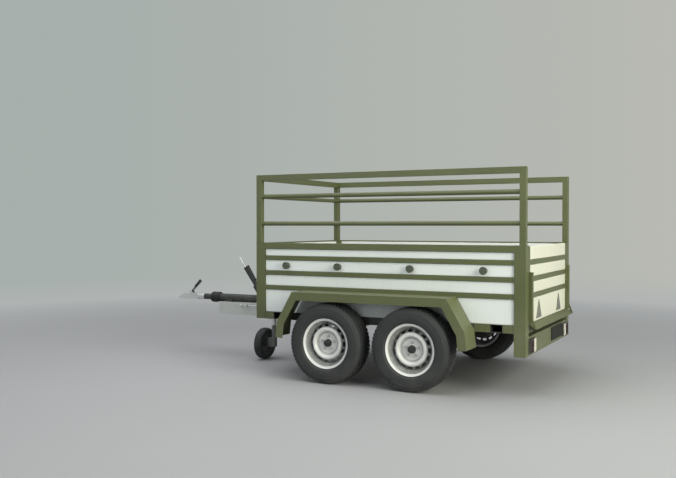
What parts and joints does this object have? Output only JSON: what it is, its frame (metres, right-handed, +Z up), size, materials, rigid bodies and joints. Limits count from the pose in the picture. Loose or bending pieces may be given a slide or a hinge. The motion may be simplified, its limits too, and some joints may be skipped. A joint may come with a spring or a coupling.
{
  "type": "livestock trailer",
  "caption": "Braked twin-axle livestock trailer with boarded open-top body, tube cage, drop tailgate ramp, overrun coupling, handbrake and jockey wheel.",
  "frame": {"origin": "on the ground under the middle of the trailer's overall length and width", "axes": "+X towards the tailgate, +Y to the trailer's right-hand side, away from the jockey wheel, +Z up"},
  "size_m": [3.944, 1.986, 1.756],
  "materials": {
    "olive": "satin olive-green paint",
    "black_steel": "semi-matt black paint",
    "white_board": "satin white-faced board",
    "beam_grey": "dull galvanised grey",
    "floor_ply": "film-faced plywood",
    "zinc": "zinc-plated",
    "fork_grey": "dark grey paint",
    "knob": "matt dark olive",
    "lens": "moulded lens, gloss",
    "reflector": "prismatic reflector",
    "bellows": "black rubber",
    "bright": "bright zinc",
    "wheel_silver": "silver wheel lacquer",
    "hub_iron": "dark cast iron",
    "tyre": "matt black rubber"
  },
  "bodies": {
    "chassis": {"sill_rails": "olive", "chassis_rails": "black_steel", "cross_members": "black_steel", "drawbar_beam": "beam_grey", "corner_posts": "olive", "belt_rails": "olive", "board_ribs": "olive", "wall_boards": "white_board", "inner_lining": "white_board", "floor_deck": "floor_ply", "cage_posts": "olive", "cage_top_rails": "olive", "cage_tube_rails": "olive", "mudguard_left": "olive", "mudguard_right": "olive", "axle_tubes": "zinc", "tie_knobs": "knob", "rear_beam": "olive", "lamp_housings": "black_steel", "lamp_lenses": "lens", "plate_panel": "black_steel", "hinge_brackets": "black_steel", "overrun_housing": "black_steel", "jockey_clamp": "black_steel", "gaiter": "bellows"},
    "tailgate": {"tailgate_frame": "olive", "tailgate_boards": "white_board", "tailgate_lip": "olive", "reflectors": "reflector"},
    "latch_left": {"latch_bolt_left": "zinc"},
    "latch_right": {"latch_bolt_right": "zinc"},
    "coupling": {"draw_shaft": "black_steel", "coupling_head": "bright"},
    "coupling_handle": {"coupling_handle": "fork_grey"},
    "handbrake": {"handbrake_lever": "black_steel"},
    "release": {"release_rod": "bright"},
    "brake_rod": {"brake_rod": "zinc"},
    "jockey_tube": {"jockey_tube": "zinc"},
    "jockey_stem": {"jockey_stem": "zinc"},
    "jockey_fork": {"jockey_fork": "fork_grey"},
    "jockey_wheel": {"jockey_rim": "wheel_silver", "jockey_tyre": "tyre"},
    "jockey_crank": {"jockey_crank": "zinc"},
    "clamp_handle": {"clamp_handle": "zinc"},
    "arm_front_left": {"swing_arm_front_left": "black_steel"},
    "wheel_front_left": {"tyre_front_left": "tyre", "rim_front_left": "wheel_silver", "hub_front_left": "hub_iron"},
    "arm_front_right": {"swing_arm_front_right": "black_steel"},
    "wheel_front_right": {"tyre_front_right": "tyre", "rim_front_right": "wheel_silver", "hub_front_right": "hub_iron"},
    "arm_rear_left": {"swing_arm_rear_left": "black_steel"},
    "wheel_rear_left": {"tyre_rear_left": "tyre", "rim_rear_left": "wheel_silver", "hub_rear_left": "hub_iron"},
    "arm_rear_right": {"swing_arm_rear_right": "black_steel"},
    "wheel_rear_right": {"tyre_rear_right": "tyre", "rim_rear_right": "wheel_silver", "hub_rear_right": "hub_iron"}
  },
  "joints": [
    {"name": "tailgate_hinge", "type": "hinge", "parent": "chassis", "child": "tailgate", "pos_m": [1.928, 0, 0.502], "axis": [0, 1, 0], "range_deg": [0, 141]},
    {"name": "latch_left_slide", "type": "slide", "parent": "tailgate", "child": "latch_left", "axis": [0, -1, 0], "range_m": [0, 0.03]},
    {"name": "latch_right_slide", "type": "slide", "parent": "tailgate", "child": "latch_right", "axis": [0, 1, 0], "range_m": [0, 0.03]},
    {"name": "overrun_slide", "type": "slide", "parent": "chassis", "child": "coupling", "axis": [1, 0, 0], "range_m": [0, 0.07], "deforming": ["gaiter"]},
    {"name": "coupling_handle_hinge", "type": "hinge", "parent": "coupling", "child": "coupling_handle", "pos_m": [-1.819, 0, 0.619], "axis": [0, 1, 0], "range_deg": [-20, 36]},
    {"name": "handbrake_hinge", "type": "hinge", "parent": "chassis", "child": "handbrake", "pos_m": [-0.92, 0, 0.585], "axis": [0, 1, 0], "range_deg": [-34, 50]},
    {"name": "release_rod_slide", "type": "slide", "parent": "handbrake", "child": "release", "axis": [0.5878, 0, -0.809], "range_m": [0, 0.01], "stiffness_N_per_m": 600, "springref_m": -0.01},
    {"name": "brake_rod_slide", "type": "slide", "parent": "chassis", "child": "brake_rod", "axis": [1, 0, 0], "range_m": [-0.045, 0.031]},
    {"name": "jockey_clamp_slide", "type": "slide", "parent": "chassis", "child": "jockey_tube", "axis": [0, 0, 1], "range_m": [-0.06, 0.03]},
    {"name": "jockey_screw_slide", "type": "slide", "parent": "jockey_tube", "child": "jockey_stem", "axis": [0, 0, 1], "range_m": [-0.12, 0.04]},
    {"name": "jockey_crank_hinge", "type": "hinge", "parent": "jockey_tube", "child": "jockey_crank", "pos_m": [-0.728, -0.112, 0.75], "axis": [0, 0, 1], "range_deg": [-6870, 2290]},
    {"name": "jockey_swivel", "type": "hinge", "parent": "jockey_stem", "child": "jockey_fork", "pos_m": [-0.728, -0.112, 0.33], "axis": [0, 0, 1], "continuous": true},
    {"name": "jockey_wheel_axle", "type": "hinge", "parent": "jockey_fork", "child": "jockey_wheel", "pos_m": [-0.836, -0.112, 0.153], "axis": [1, 0, 0], "continuous": true},
    {"name": "clamp_screw", "type": "hinge", "parent": "chassis", "child": "clamp_handle", "pos_m": [-0.728, -0.17, 0.455], "axis": [0, 1, 0], "range_deg": [-180, 180]},
    {"name": "suspension_front_left", "type": "hinge", "parent": "chassis", "child": "arm_front_left", "pos_m": [0.155, -0.718, 0.384], "axis": [0, 1, 0], "range_deg": [-8, 8], "stiffness_Nm_per_rad": 9000, "springref_deg": -1.55},
    {"name": "wheel_front_left_axle", "type": "hinge", "parent": "arm_front_left", "child": "wheel_front_left", "pos_m": [0.305, -0.8855, 0.334], "axis": [0, 1, 0], "continuous": true},
    {"name": "suspension_front_right", "type": "hinge", "parent": "chassis", "child": "arm_front_right", "pos_m": [0.155, 0.718, 0.384], "axis": [0, 1, 0], "range_deg": [-8, 8], "stiffness_Nm_per_rad": 9000, "springref_deg": -1.55},
    {"name": "wheel_front_right_axle", "type": "hinge", "parent": "arm_front_right", "child": "wheel_front_right", "pos_m": [0.305, 0.8855, 0.334], "axis": [0, 1, 0], "continuous": true},
    {"name": "suspension_rear_left", "type": "hinge", "parent": "chassis", "child": "arm_rear_left", "pos_m": [0.905, -0.718, 0.384], "axis": [0, 1, 0], "range_deg": [-8, 8], "stiffness_Nm_per_rad": 9000, "springref_deg": -1.55},
    {"name": "wheel_rear_left_axle", "type": "hinge", "parent": "arm_rear_left", "child": "wheel_rear_left", "pos_m": [1.055, -0.8855, 0.334], "axis": [0, 1, 0], "continuous": true},
    {"name": "suspension_rear_right", "type": "hinge", "parent": "chassis", "child": "arm_rear_right", "pos_m": [0.905, 0.718, 0.384], "axis": [0, 1, 0], "range_deg": [-8, 8], "stiffness_Nm_per_rad": 9000, "springref_deg": -1.55},
    {"name": "wheel_rear_right_axle", "type": "hinge", "parent": "arm_rear_right", "child": "wheel_rear_right", "pos_m": [1.055, 0.8855, 0.334], "axis": [0, 1, 0], "continuous": true}
  ],
  "couplings": [
    {"joint": "brake_rod_slide", "follows": "handbrake_hinge", "m_per_rad": -0.05},
    {"joint": "jockey_screw_slide", "follows": "jockey_crank_hinge", "m_per_rad": 0.001}
  ]
}
